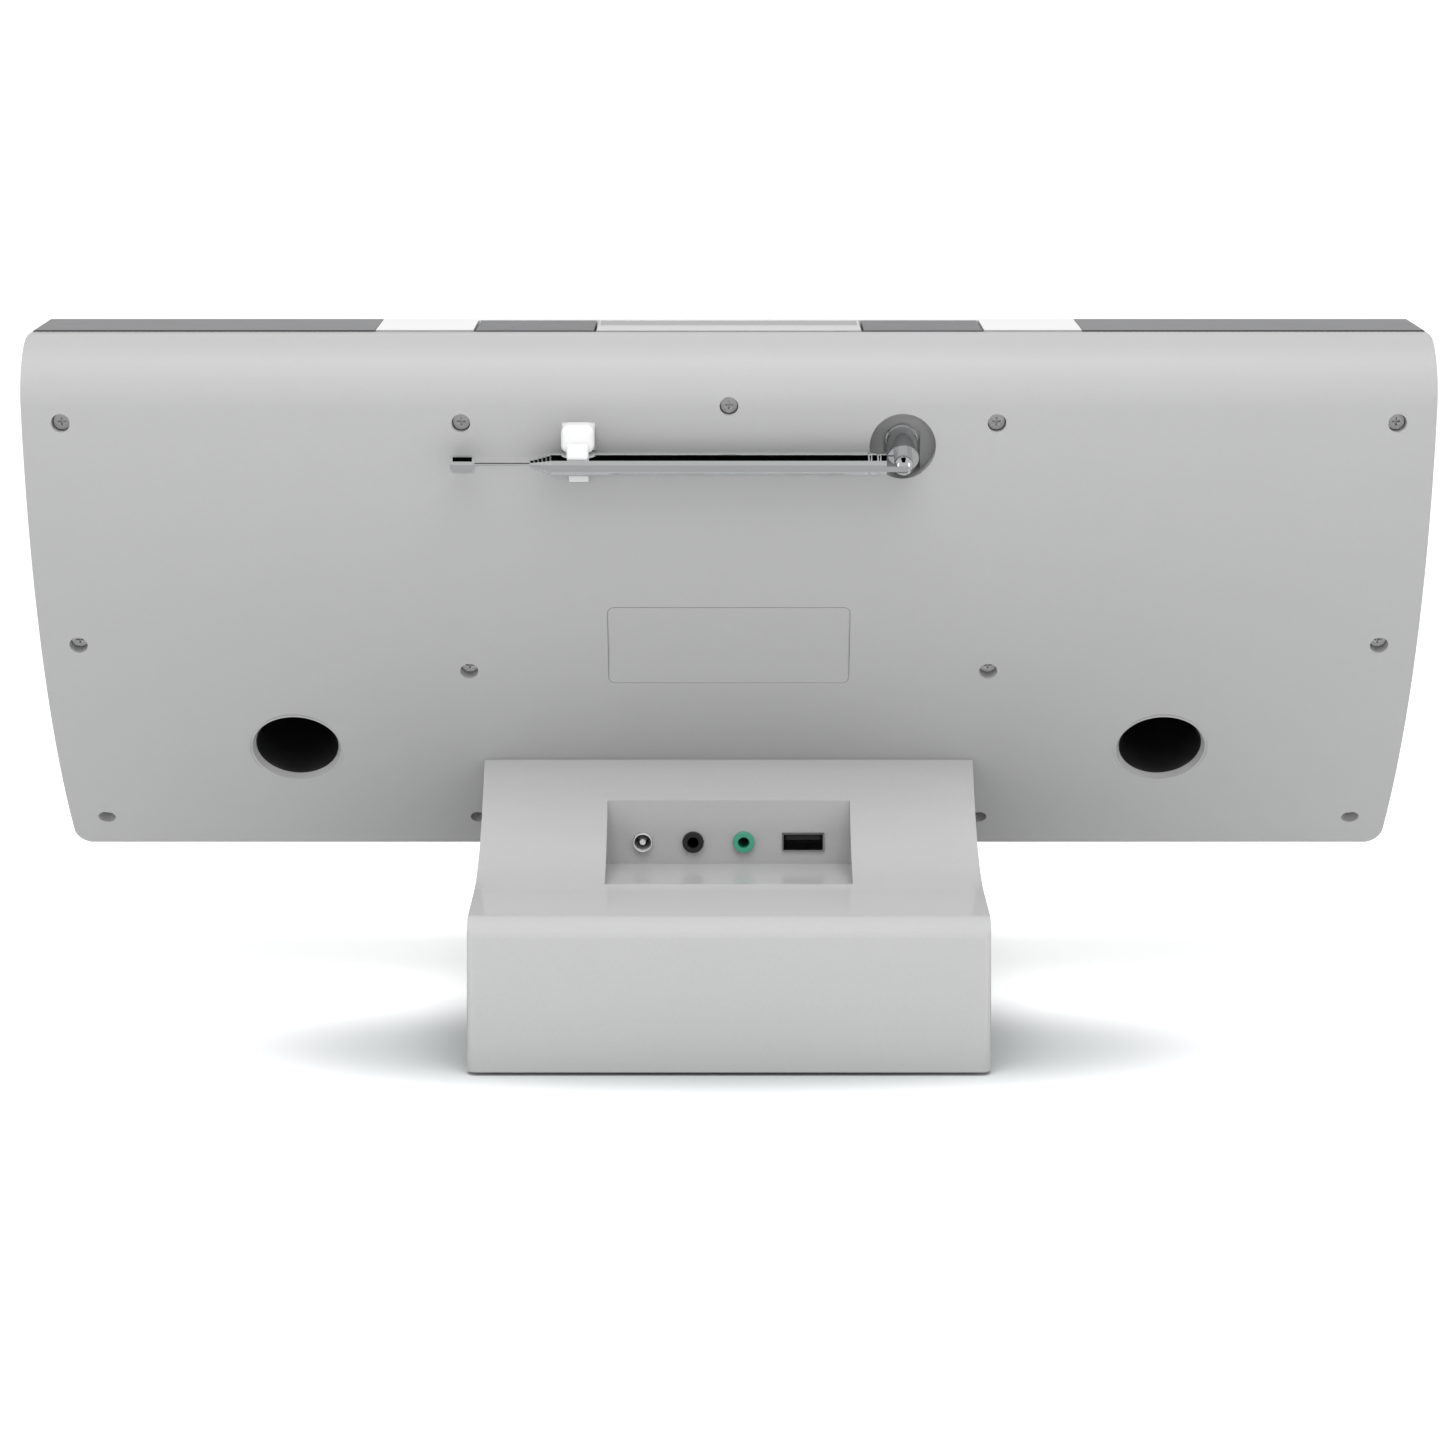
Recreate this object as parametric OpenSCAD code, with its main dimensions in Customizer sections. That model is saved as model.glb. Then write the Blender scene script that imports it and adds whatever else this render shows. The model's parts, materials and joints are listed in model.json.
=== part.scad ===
// Tabletop radio: a wide cabinet with a curved back, held on a heavy pedestal base.
// X runs across the radio, -Y is the front, +Y is the back, and Z = 0 is the table.

/* [Cabinet] */
// Width of the cabinet
body_w = 438; // [420:1:460]
// Height of the cabinet's flat top above the table
body_top = 222.8; // [222:0.1:224]
// Height of the cabinet's underside above the table
body_bottom = 44.8; // [44:0.1:46]
// Radius of the curved back, about an axis across the radio
back_r = 235.4; // [234:0.1:237]
// Wall thickness of the rear shell
wall = 2.4; // [2:0.1:3]
// Gap between the rear shell and the front parts
seam = 0.6; // [0.4:0.1:1]

/* [Front] */
// Half width of the centre fascia, between the two grilles
fascia_half = 111; // [108:0.5:114]
// Thickness of the grilles
grille_t = 1.5; // [1:0.1:2]
// Outer radius of a loudspeaker's frame
driver_r = 37.5; // [36:0.5:38]
// Width of the display window
lens_w = 150; // [120:1:156]
// Height of the display window
lens_h = 52; // [40:1:60]

/* [Top keys] */
// Half width of the long standby bar
bar_half = 41.6; // [38:0.1:43]
// Outer end of a rocker key
rocker_out = 79.5; // [78:0.1:81]
// Press of the keys
key_travel = 0.8; // [0.4:0.1:1]

/* [Antenna] */
// Outer radius of the widest tube
tube_r = 3.7; // [3.5:0.05:3.8]
// Length of the widest tube
tube_len = 103.8; // [100:0.1:104]
// Tilt of the swivel's axis below the horizontal
swivel_tilt = 25; // [20:1:28]

/* [Base] */
// Width of the base at the table
base_w = 162.4; // [160:0.2:166]
// Depth of the base
base_d = 160; // [156:1:164]
// Height of the base's flat rear ledge
ledge_z = 50; // [49:0.5:51]
// Height of the rubber feet below the base
foot_h = 1.2; // [1:0.1:1.5]

/* [Hidden] */

$fn = 64;
eps = 0.01;
far = 400;

// The back is an arc about this axis, and a smaller arc rolls it over into the flat top
back_y = -201.4;
back_z = 209.6;
roll_r = 20.7;
roll_tilt = 2;
roll_steps = 16;
flats_from = 8.5;
flats = 5;
roll_y = back_y + (back_r - roll_r) * cos(roll_tilt);
roll_z = body_top - roll_r;

// The front is a plane that leans back
front_top_y = -18;
front_bottom_y = -62;
front_lean = atan((front_top_y - front_bottom_y) / (body_top - body_bottom));
function front_y(z) = front_top_y - (body_top - z) * tan(front_lean);

// The front parts meet the rear shell on a second leaning plane
split_top_y = 11.7;
split_bottom_y = -42;

// Angle down the back at a height
function back_angle(z) = asin((back_z - z) / back_r);

// Loudspeakers and ports
driver_x = 164.5;
driver_z = 138;
baffle_t = 7;
lens_z = 150;
port_x = 140.7;
port_z = 84.5;
port_r = 14.4;
port_flange_r = 15.2;

// Case screws: distance from the centre line and height
screw_sites = concat([[0, 201.8]], [for (s = [-1, 1]) each [
  [s * 207, 196.5], [s * 83, 196.5],
  [s * 207, 123], [s * 83, 113.7],
  [s * 207, 56.2], [s * 83, 56.2]
]]);
well_r = 2.9;
well_depth = 5;
screw_len = 14;

// Rating plate in its shallow recess
plate_w = 77;
plate_lo = 109.3;
plate_hi = 136.1;
plate_r = 2.2;

// Keys on the top
key_h = 6;
key_front_y = -14.2;
key_gap = 0.7;
bar_stem_x = 20;
rocker_x = (bar_half + rocker_out) / 2 + key_gap / 2;
rocker_w = rocker_out - bar_half - key_gap;
rocker_pivot_z = body_top - 9;
shelf_z = 209.5;
shelf_t = 1.5;
stem_end = 3 + key_travel;
rocker_pin_r = 1;
deck_t = 4.3;
proud = 0.5;
key_board_z = 205;

// Antenna: the elbow pin and the swivel's axis cross at this point
pivot = [-53.9, 38.6, 184.5];
pocket_r = 10.3;
pocket_z = 189.2;
channel_w = 11.4;
barrel_r = 4.7;
barrel_back = 14.2;
barrel_front = 3.1;
knuckle_r = 3.1;
tongue_half = 1.05;
tube_start = pivot.x + 5.3;
tube_steps = 1.26;
groove_x = [-46.3, -43.5];
stage_r = [tube_r, 3.22, 2.76, 2.32, 1.9, 1.5];
stage_bore = [3.3, 2.84, 2.4, 1.98, 1.58, 0.66];
rod_r = 0.57;
rod_end_x = 78.5;
tip_r = 2.9;
tip_len = 7.6;
clip_x = 46.6;
clip_w = 10.3;

// Base
base_front = -base_d / 2;
base_back = base_d / 2;
base_wall = 2.6;
neck_y = -4.6;
neck_z = 80.5;
slope_y = 47;
slope_r = (pow(slope_y - neck_y, 2) + pow(neck_z - ledge_z, 2)) / (2 * (neck_z - ledge_z));
jack_wall_y = 4;
jack_z = 54.7;
jack_half = 39.4;
jack_floor_z = 47.3;
jack_back_y = 40;
neck_screw_x = 40;
neck_screw_y = -50;
neck_screw_r = 1.9;
dc_x = 28;
aux_x = 11.6;
phones_x = -4.9;
usb_x = -24.3;

// Colours
shell_grey = [0.80, 0.80, 0.80];
fascia_white = [0.93, 0.93, 0.92];
dark_grey = [0.36, 0.36, 0.38];
black_plastic = [0.07, 0.07, 0.08];
board_green = [0.10, 0.34, 0.18];
steel = [0.75, 0.76, 0.78];

// ---------------------------------------------------------------- helpers

// Extrudes a drawing of depth (Y) against height (Z) across the radio
module across(w) {
  rotate([90, 0, 90]) linear_extrude(w, center = true) children();
}

// Extrudes a drawing of width (X) against height (Z) from front to back
module through(y0, y1) {
  translate([0, y1, 0]) rotate([90, 0, 0]) linear_extrude(y1 - y0) children();
}

// Stands its children on the curved back, Z pointing straight out of it
module on_back(x, z, lift = 0) {
  a = back_angle(z);
  translate([x, back_y + (back_r + lift) * cos(a), back_z - (back_r + lift) * sin(a)])
    rotate([-90 - a, 0, 0]) children();
}

// Stands its children on the front plane, Z pointing straight out of it
module on_front(x, z, lift = 0) {
  translate([x, front_y(z), z]) rotate([90 - front_lean, 0, 0]) translate([0, 0, lift]) children();
}

// Rectangle with round corners, centred
module round_rect(w, h, r) {
  square([w - 2 * r, h], center = true);
  square([w, h - 2 * r], center = true);
  for (sx = [-1, 1], sy = [-1, 1]) translate([sx * (w / 2 - r), sy * (h / 2 - r)]) circle(r);
}

// Half plane of the side view in front of a leaning line
module ahead_of(y_top, y_bottom, shift = 0) {
  run = (y_top - y_bottom) / (body_top - body_bottom);
  polygon([
    [-far, -far],
    [y_bottom + shift - run * (body_bottom + far), -far],
    [y_top + shift + run * (far - body_top), far],
    [-far, far]
  ]);
}

// Point at an angle on a circle
function on_arc(y, z, r, a) = [y + r * cos(a), z + r * sin(a)];

// Side view of the cabinet, shrunk by a distance on every side. Its top is drawn in short flats.
module side_view(inset) {
  intersection() {
    difference() {
      union() {
        intersection() {
          translate([back_y, back_z]) circle(back_r - inset, $fn = 180);
          translate([back_y, back_z]) rotate(-flats_from) translate([0, -far]) square([far, far]);
        }
        polygon(concat(
          [[back_y, body_top - inset], [back_y, back_z - 5]],
          [on_arc(back_y, back_z, back_r - inset - 1, -flats_from - 1)],
          [for (i = [0:flats - 1])
            on_arc(back_y, back_z, back_r - inset, -flats_from + i * (flats_from - roll_tilt) / flats)],
          [for (i = [0:roll_steps])
            on_arc(roll_y, roll_z, roll_r - inset, -roll_tilt + i * (90 + roll_tilt) / roll_steps)]
        ));
      }
      ahead_of(front_top_y, front_bottom_y, inset / cos(front_lean));
    }
    translate([-far, body_bottom + inset]) square([2 * far, far]);
  }
}

// Cabinet's outer shape, shrunk by a distance, with its four corners rounded in the rear view
module envelope(inset) {
  intersection() {
    across(body_w - 2 * inset) side_view(inset);
    through(-100, 100) rear_outline(
      body_w / 2 - inset, body_bottom + inset - 0.2, body_top - inset + 0.2,
      6 - min(inset, 4), 2 - min(inset, 1.5)
    );
  }
}

// Rear view of the cabinet with one corner radius below and another above
module rear_outline(half, low, high, r_low, r_high) {
  translate([r_low - half, low]) square([2 * (half - r_low), high - low - r_high]);
  translate([r_high - half, low + r_low]) square([2 * (half - r_high), high - low - r_low]);
  translate([-half, low + r_low]) square([2 * half, high - low - r_low - r_high]);
  for (s = [-1, 1]) {
    translate([s * (half - r_low), low + r_low]) circle(r_low);
    translate([s * (half - r_high), high - r_high]) circle(r_high);
  }
}

module ahead_of_split(shift) {
  across(2 * far) ahead_of(split_top_y, split_bottom_y, shift);
}

// ---------------------------------------------------------------- cabinet

module screw_wells() {
  for (s = screw_sites) on_back(s.x, s.y) {
    translate([0, 0, -well_depth]) cylinder(h = well_depth + 5, r = well_r);
    translate([0, 0, -well_depth - 5]) cylinder(h = 10, r = 1.7);
  }
}

module antenna_pocket() {
  on_back(pivot.x, pocket_z, -7) cylinder(h = 15, r = pocket_r);
  intersection() {
    on_back(pivot.x, pocket_z, -24) cylinder(h = 30, r = pocket_r);
    translate(pivot) rotate([-90 - swivel_tilt, 0, 0])
      translate([-channel_w / 2, -30, -barrel_back - 0.8]) cube([channel_w, 60, 30]);
  }
}

module rear_shell() {
  color(shell_grey) difference() {
    union() {
      difference() {
        envelope(0);
        ahead_of_split(seam / 2);
        envelope(wall);
      }
      for (s = screw_sites) on_back(s.x, s.y, -well_depth - 2) cylinder(h = well_depth + 1, r = 4.6);
      on_back(pivot.x, pocket_z, -15.5) cylinder(h = 14.5, r = pocket_r + 1.6);
    }
    screw_wells();
    antenna_pocket();
    translate(pivot) rotate([-90 - swivel_tilt, 0, 0]) translate([0, 0, -40]) cylinder(h = 40, r = 2.1);
    for (s = [-1, 1]) on_back(s * port_x, port_z, -8) cylinder(h = 16, r = port_flange_r);
    plate_block(-0.9, 5, 0);
    clip_slot();
    translate([-far, -far, body_top - proud]) cube([2 * far, 2 * far, far]);
  }
}

// Flat block with round corners, its faces at two distances from the middle of the recess
module plate_block(from, to, trim) {
  z_mid = (plate_lo + plate_hi) / 2;
  x = plate_w / 2 - plate_r;
  y = (plate_hi - plate_lo) / 2 / cos(back_angle(z_mid)) - plate_r;
  on_back(0, z_mid, from) hull()
    for (sx = [-1, 1], sy = [-1, 1])
      translate([sx * x, sy * y, 0]) cylinder(h = to - from, r = plate_r - trim, $fn = 32);
}

module rating_plate() {
  color([0.74, 0.74, 0.75]) plate_block(-0.9, -0.4, 0.15);
}

module case_screws() {
  color(steel) for (s = screw_sites) on_back(s.x, s.y, -well_depth) {
    difference() {
      cylinder(h = 1.6, r = 2.6);
      translate([0, 0, 1.6]) for (a = [0, 90]) rotate(a) cube([2.6, 0.6, 1.6], center = true);
    }
    translate([0, 0, -screw_len]) cylinder(h = screw_len + eps, r = 1.4);
  }
}

// Posts that run from the fascia's inside to the floors of the screw wells. The middle one is short.
module screw_posts() {
  for (s = screw_sites) {
    reach = s.x == 0 ? 19 : 94;
    on_back(s.x, s.y, -well_depth - 2 - reach) cylinder(h = reach, r = 4);
  }
}

module key_pockets() {
  y0 = key_front_y - 0.5;
  y1 = 40;
  for (s = [-1, 1]) {
    x0 = s > 0 ? bar_half + key_gap : -rocker_out - 0.6;
    translate([x0 - (s > 0 ? 0.6 : 0), y0, body_top - key_h - 2])
      cube([rocker_out - bar_half + 0.6, y1 - y0, far]);
  }
  translate([-bar_half - 0.6, y0, body_top - key_h - 2]) cube([2 * bar_half + 1.2, y1 - y0, far]);
}

// Shelf under the keys, with the brackets that hold the rocker pins
module key_shelf() {
  inner_y = front_y(shelf_z) + 5;
  difference() {
    union() {
      translate([-84, inner_y, shelf_z]) cube([168, 8 - inner_y, shelf_t]);
      for (s = [-1, 1], y = [-8.4, 6.2])
        translate([s * rocker_x - 4, y - 1.2, shelf_z]) cube([8, 2.4, rocker_pivot_z + 2.2 - shelf_z]);
      translate([-5, 6.5, 202]) cube([10, 8, shelf_z + shelf_t - 202]);
    }
    for (x = [-bar_stem_x, bar_stem_x]) translate([x, -1.5, 200]) cylinder(h = 20, r = 2.26);
    for (s = [-1, 1], d = [-12, 12]) translate([s * rocker_x + d, -1.5, 200]) cylinder(h = 20, r = 3.2);
    for (s = [-1, 1])
      translate([s * rocker_x, 20, rocker_pivot_z]) rotate([90, 0, 0]) cylinder(h = 40, r = rocker_pin_r);
  }
}

module fascia_body() {
  difference() {
    union() {
      intersection() {
        envelope(0);
        translate([-fascia_half + 0.2, -far, 0]) cube([2 * fascia_half - 0.4, 2 * far, far]);
        ahead_of_split(-seam / 2);
      }
      intersection() {
        envelope(grille_t + 0.1);
        ahead_of_split(-seam / 2);
      }
      intersection() {
        envelope(wall + 0.1);
        ahead_of_split(4);
      }
    }
    intersection() {
      envelope(deck_t);
      across(2 * far) difference() {
        square(2 * far, center = true);
        ahead_of(front_top_y, front_bottom_y, baffle_t / cos(front_lean));
      }
    }
  }
}

module front_frame() {
  color(fascia_white) difference() {
    union() {
      difference() {
        fascia_body();
        key_pockets();
      }
      key_shelf();
      intersection() {
        envelope(deck_t - 0.5);
        union() {
          screw_posts();
          for (s = [-1, 1]) translate([s * neck_screw_x, neck_screw_y, 40]) cylinder(h = 22, r = 5);
        }
      }
    }
    for (s = [-1, 1]) {
      on_front(s * driver_x, driver_z, -20) cylinder(h = 30, r = driver_r - 4);
      on_back(s * port_x, port_z, -60) cylinder(h = 60, r = port_flange_r + 1);
      translate([s * neck_screw_x, neck_screw_y, 40]) cylinder(h = 20, r = neck_screw_r);
    }
    for (s = screw_sites) on_back(s.x, s.y, -well_depth - screw_len - 2) cylinder(h = 40, r = 1.4);
    lens_seat();
    on_back(pivot.x, pocket_z, -22) cylinder(h = 22, r = pocket_r + 2.6);
  }
}

module lens_seat() {
  on_front(0, lens_z, -1.6) linear_extrude(10) round_rect(lens_w + 0.4, lens_h + 0.4, 4);
  on_front(0, lens_z, -20) linear_extrude(30) round_rect(lens_w - 16, lens_h - 12, 3);
}

module grille(side) {
  color(dark_grey) intersection() {
    difference() {
      envelope(0);
      envelope(grille_t);
    }
    ahead_of_split(-seam / 2);
    translate([side * (fascia_half + far) / 2, 0, far / 2])
      cube([far - fascia_half, 2 * far, far], center = true);
  }
}

module grille_left() { grille(-1); }
module grille_right() { grille(1); }

// ---------------------------------------------------------------- display and boards

module display_lens() {
  color([0.05, 0.05, 0.06]) on_front(0, lens_z, -1.5) linear_extrude(1.5) round_rect(lens_w, lens_h, 3.8);
}

module lcd_panel() {
  color([0.55, 0.62, 0.60]) on_front(0, lens_z, -6.4) linear_extrude(4.6)
    square([lens_w - 20, lens_h - 16], center = true);
}

module display_board() {
  color(board_green) on_front(0, lens_z, -9) linear_extrude(1.6)
    square([lens_w, lens_h + 12], center = true);
}

module key_board() {
  color(board_green) translate([-77, -8, key_board_z - 3.4]) cube([154, 13.4, 1.6]);
}

module key_switches() {
  xs = concat([for (s = [-1, 1], d = [-12, 12]) s * rocker_x + d], [-bar_stem_x, bar_stem_x]);
  color(steel) for (x = xs) translate([x, -1.5, key_board_z - 1.8]) {
    translate([-3, -3, 0]) cube([6, 6, 3.4]);
    cylinder(h = 4.6, r = 1.6);
  }
}

module main_board() {
  color(board_green) translate([-70, -14, 92]) cube([128, 1.6, 58]);
}

module main_board_parts() {
  color(black_plastic) translate([0, -12.4, 0]) {
    translate([-52, 0, 124]) cube([20, 1.6, 20]);
    translate([-16, 0, 132]) cube([14, 1.8, 10]);
    translate([-60, 0, 104]) rotate([-90, 0, 0]) cylinder(h = 12, r = 5);
    translate([-46, 0, 104]) rotate([-90, 0, 0]) cylinder(h = 12, r = 5);
    translate([-30, 0, 106]) rotate([-90, 0, 0]) cylinder(h = 8, r = 4);
    translate([34, 0, 104]) cube([18, 9, 12]);
  }
}

module tuner_can() {
  color(steel) translate([8, -12.4, 122]) difference() {
    cube([34, 8, 24]);
    translate([0.5, -eps, 0.5]) cube([33, 7.5, 23]);
  }
}

module heatsink() {
  color([0.62, 0.63, 0.65]) translate([-14, -12.4, 98]) {
    cube([32, 2.4, 20]);
    for (i = [0:6]) translate([i * 5, 0, 0]) cube([1.6, 14, 20]);
  }
}

// ---------------------------------------------------------------- loudspeakers

module on_driver(side) {
  on_front(side * driver_x, driver_z, -baffle_t) children();
}

module driver_frame(side) {
  color([0.16, 0.16, 0.17]) on_driver(side) difference() {
    rotate_extrude($fn = 96) polygon([
      [driver_r - 8, 0], [driver_r, 0], [driver_r, -2], [driver_r - 6, -2], [20, -18],
      [20, -22], [11.2, -22], [11.2, -20.4], [18, -20.4], [18, -17], [driver_r - 8, -2]
    ]);
    for (a = [0:60:359]) rotate(a + 30) translate([21, -5, -15]) cube([9, 10, 11]);
    for (a = [45:90:359]) rotate(a) translate([driver_r - 3, 0, -3]) cylinder(h = 4, r = 1.5);
  }
}

module surround(side) {
  color(black_plastic) on_driver(side) rotate_extrude($fn = 96) difference() {
    translate([driver_r - 8.5, 0]) circle(4.2);
    translate([driver_r - 8.5, 0]) circle(3.6);
    translate([0, -10]) square([60, 10]);
  }
}

module cone(side) {
  color([0.20, 0.20, 0.21]) on_driver(side) rotate_extrude($fn = 96)
    polygon([
      [driver_r - 12.4, 0], [driver_r - 12.4, -0.8], [10.2, -12.6], [10.2, -19],
      [9.6, -19], [9.6, -12], [driver_r - 13.4, 0]
    ]);
}

module dust_cap(side) {
  color([0.12, 0.12, 0.13]) on_driver(side) translate([0, 0, -24.9]) intersection() {
    difference() {
      sphere(16, $fn = 64);
      sphere(15.4, $fn = 64);
    }
    translate([0, 0, 12.4]) cylinder(h = 10, r = 9.5);
  }
}

module magnet(side) {
  color([0.30, 0.30, 0.32]) on_driver(side) {
    translate([0, 0, -25]) difference() {
      cylinder(h = 3, r = 24);
      translate([0, 0, -1]) cylinder(h = 5, r = 11);
    }
    translate([0, 0, -35]) difference() {
      cylinder(h = 10, r = 26);
      translate([0, 0, -1]) cylinder(h = 12, r = 11);
    }
    translate([0, 0, -38]) cylinder(h = 3, r = 24);
    translate([0, 0, -35 - eps]) cylinder(h = 15, r = 8.9);
  }
}

module driver_frame_left() { driver_frame(-1); }
module driver_frame_right() { driver_frame(1); }
module surround_left() { surround(-1); }
module surround_right() { surround(1); }
module cone_left() { cone(-1); }
module cone_right() { cone(1); }
module dust_cap_left() { dust_cap(-1); }
module dust_cap_right() { dust_cap(1); }
module magnet_left() { magnet(-1); }
module magnet_right() { magnet(1); }

// Flared bass port, flush with the curved back
module port_tube(side) {
  color(black_plastic) on_back(side * port_x, port_z) rotate_extrude($fn = 96) difference() {
    union() {
      translate([0, -1.6]) square([port_flange_r - 0.05, 1.4]);
      translate([0, -34]) square([14, 33]);
    }
    translate([0, -40]) square([11.6, 50]);
    polygon([[0, 1], [port_r + 1.2, 1], [port_r, -0.2], [13, -3], [12.2, -6], [11.6, -10], [0, -10]]);
  }
}

module port_tube_left() { port_tube(-1); }
module port_tube_right() { port_tube(1); }

// ---------------------------------------------------------------- top keys

// Solid block of a key, its back face leaning with the seam
module key_block(x0, w) {
  intersection() {
    translate([x0, key_front_y, body_top - key_h]) cube([w, 40, key_h]);
    ahead_of_split(-seam / 2);
  }
}

module key_stem(x) {
  translate([x, -1.5, key_board_z + stem_end]) cylinder(h = body_top - 2 - key_board_z - stem_end, r = 2.2);
}

module standby_bar() {
  color([0.80, 0.80, 0.80]) {
    difference() {
      key_block(-bar_half, 2 * bar_half);
      translate([-bar_half + 1, key_front_y + 1, body_top - 1]) cube([2 * bar_half - 2, 12, 2]);
      translate([-bar_half + 1.5, key_front_y + 1.5, body_top - key_h - 1])
        cube([2 * bar_half - 3, 20, key_h - 1.4]);
    }
    for (x = [-bar_stem_x, bar_stem_x]) key_stem(x);
  }
}

module bar_inlay() {
  color([0.55, 0.55, 0.56]) translate([-bar_half + 1, key_front_y + 1, body_top - 1])
    cube([2 * bar_half - 2, 12, 1]);
}

module rocker(side) {
  color(dark_grey) difference() {
    union() {
      key_block(side * rocker_x - rocker_w / 2, rocker_w);
      translate([side * rocker_x - 3, -6.8, rocker_pivot_z - 2]) cube([6, 11.4, 8]);
      for (d = [-12, 12]) key_stem(side * rocker_x + d);
    }
    translate([side * rocker_x, 20, rocker_pivot_z]) rotate([90, 0, 0])
      cylinder(h = 40, r = rocker_pin_r + 0.06);
  }
}

module tune_rocker() { rocker(-1); }
module volume_rocker() { rocker(1); }

module rocker_pins() {
  color(steel) for (s = [-1, 1])
    translate([s * rocker_x, 7.4, rocker_pivot_z]) rotate([90, 0, 0]) cylinder(h = 17, r = rocker_pin_r);
}

// ---------------------------------------------------------------- antenna

// Children stand at the elbow pin with Z along the swivel's axis, out of the cabinet
module on_swivel() {
  translate(pivot) rotate([-90 - swivel_tilt, 0, 0]) children();
}

module antenna_washer() {
  color(steel) on_swivel() translate([0, 0, -barrel_back - 0.7]) difference() {
    cylinder(h = 0.6, r = 5);
    translate([0, 0, -1]) cylinder(h = 3, r = 2.15);
  }
}

module antenna_nut() {
  color(steel) on_swivel() translate([0, 0, -barrel_back - 13]) difference() {
    cylinder(h = 2.6, r = 4, $fn = 6);
    translate([0, 0, -1]) cylinder(h = 5, r = 2.06);
  }
}

module antenna_barrel() {
  color([0.82, 0.83, 0.85]) on_swivel() difference() {
    union() {
      translate([0, 0, -barrel_back]) cylinder(h = barrel_back - barrel_front - 0.9, r = barrel_r);
      translate([0, 0, -barrel_front - 0.9]) cylinder(h = 0.9, r = 4.9);
      translate([0, 0, -barrel_front - 0.5]) cylinder(h = barrel_front + 1.1 + eps, r = knuckle_r);
      translate([0, 0, 0.6]) intersection() {
        sphere(knuckle_r);
        cylinder(h = 9, r = knuckle_r + 1);
      }
      translate([0, 0, -barrel_back - 14]) cylinder(h = 14.5, r = 2);
    }
    translate([-9, -tongue_half - 0.1, -3.05]) cube([18, 2 * tongue_half + 0.2, 12]);
    rotate([90, 0, 0]) cylinder(h = 20, r = 0.8, center = true);
  }
}

module antenna_pin() {
  color(steel) on_swivel() rotate([90, 0, 0]) cylinder(h = 5.6, r = 0.8, center = true);
}

// One telescopic tube; the first carries the elbow's tongue
module stage(i) {
  x0 = tube_start + (i == 0 ? 0 : 5 + i * 1.2);
  x1 = tube_start + tube_len + i * tube_steps;
  color([0.86, 0.87, 0.89]) translate([0, pivot.y, pivot.z]) difference() {
    translate([x0, 0, 0]) rotate([0, 90, 0]) cylinder(h = x1 - x0, r = stage_r[i]);
    translate([x0 + (i == 0 ? 4 : -1), 0, 0]) rotate([0, 90, 0]) cylinder(h = x1 - x0 + 2, r = stage_bore[i]);
  }
}

module antenna_tube_1() {
  color([0.86, 0.87, 0.89]) difference() {
    stage(0);
    for (x = groove_x) translate([x, pivot.y, pivot.z]) rotate([0, 90, 0]) difference() {
      cylinder(h = 1.2, r = 5, center = true);
      cylinder(h = 2, r = tube_r - 0.2, center = true);
    }
  }
  color([0.86, 0.87, 0.89]) on_swivel() difference() {
    union() {
      translate([0, tongue_half, 0]) rotate([90, 0, 0]) cylinder(h = 2 * tongue_half, r = 2.8);
      translate([0, -tongue_half, -2.8]) cube([5.6, 2 * tongue_half, 5.6]);
    }
    rotate([90, 0, 0]) cylinder(h = 20, r = 0.86, center = true);
  }
}

module antenna_tube_2() { stage(1); }
module antenna_tube_3() { stage(2); }
module antenna_tube_4() { stage(3); }
module antenna_tube_5() { stage(4); }
module antenna_tube_6() { stage(5); }

module antenna_rod() {
  x0 = tube_start + 14;
  color([0.86, 0.87, 0.89]) translate([x0, pivot.y, pivot.z]) rotate([0, 90, 0])
    cylinder(h = rod_end_x + 2 - x0, r = rod_r);
}

module antenna_tip() {
  color([0.86, 0.87, 0.89]) translate([rod_end_x, pivot.y, pivot.z]) rotate([0, 90, 0]) difference() {
    rotate_extrude()
      polygon([[0, 0], [2.3, 0], [tip_r, 0.7], [tip_r, tip_len - 0.9], [2.2, tip_len], [0, tip_len]]);
    translate([0, 0, -1]) cylinder(h = 3, r = rod_r);
  }
}

// Snap clip: a block above the tube with a tongue over it, and a low lip below
module antenna_clip() {
  z0 = pivot.z + tube_r + 0.1;
  color(fascia_white) difference() {
    union() {
      translate([clip_x - clip_w / 2, 24, z0]) cube([clip_w, 18.6, 8.6]);
      translate([clip_x - 3.4, pivot.y + 3.4, z0 - 1.8]) cube([6.8, 1.7, 3]);
      translate([clip_x - 3.1, 24, pivot.z - 6.2]) cube([6.2, 10.2, 16]);
    }
    across(2 * far) translate([back_y, back_z]) circle(back_r - wall, $fn = 180);
    translate([0, pivot.y, pivot.z]) rotate([0, 90, 0]) cylinder(h = 200, r = tube_r + 0.1, center = true);
  }
}

module clip_slot() {
  z0 = pivot.z + tube_r + 0.1;
  translate([clip_x - clip_w / 2, 20, z0]) cube([clip_w, 30, 8.6]);
  translate([clip_x - 3.1, 20, pivot.z - 6.2]) cube([6.2, 30, 16]);
}

// ---------------------------------------------------------------- base

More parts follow.
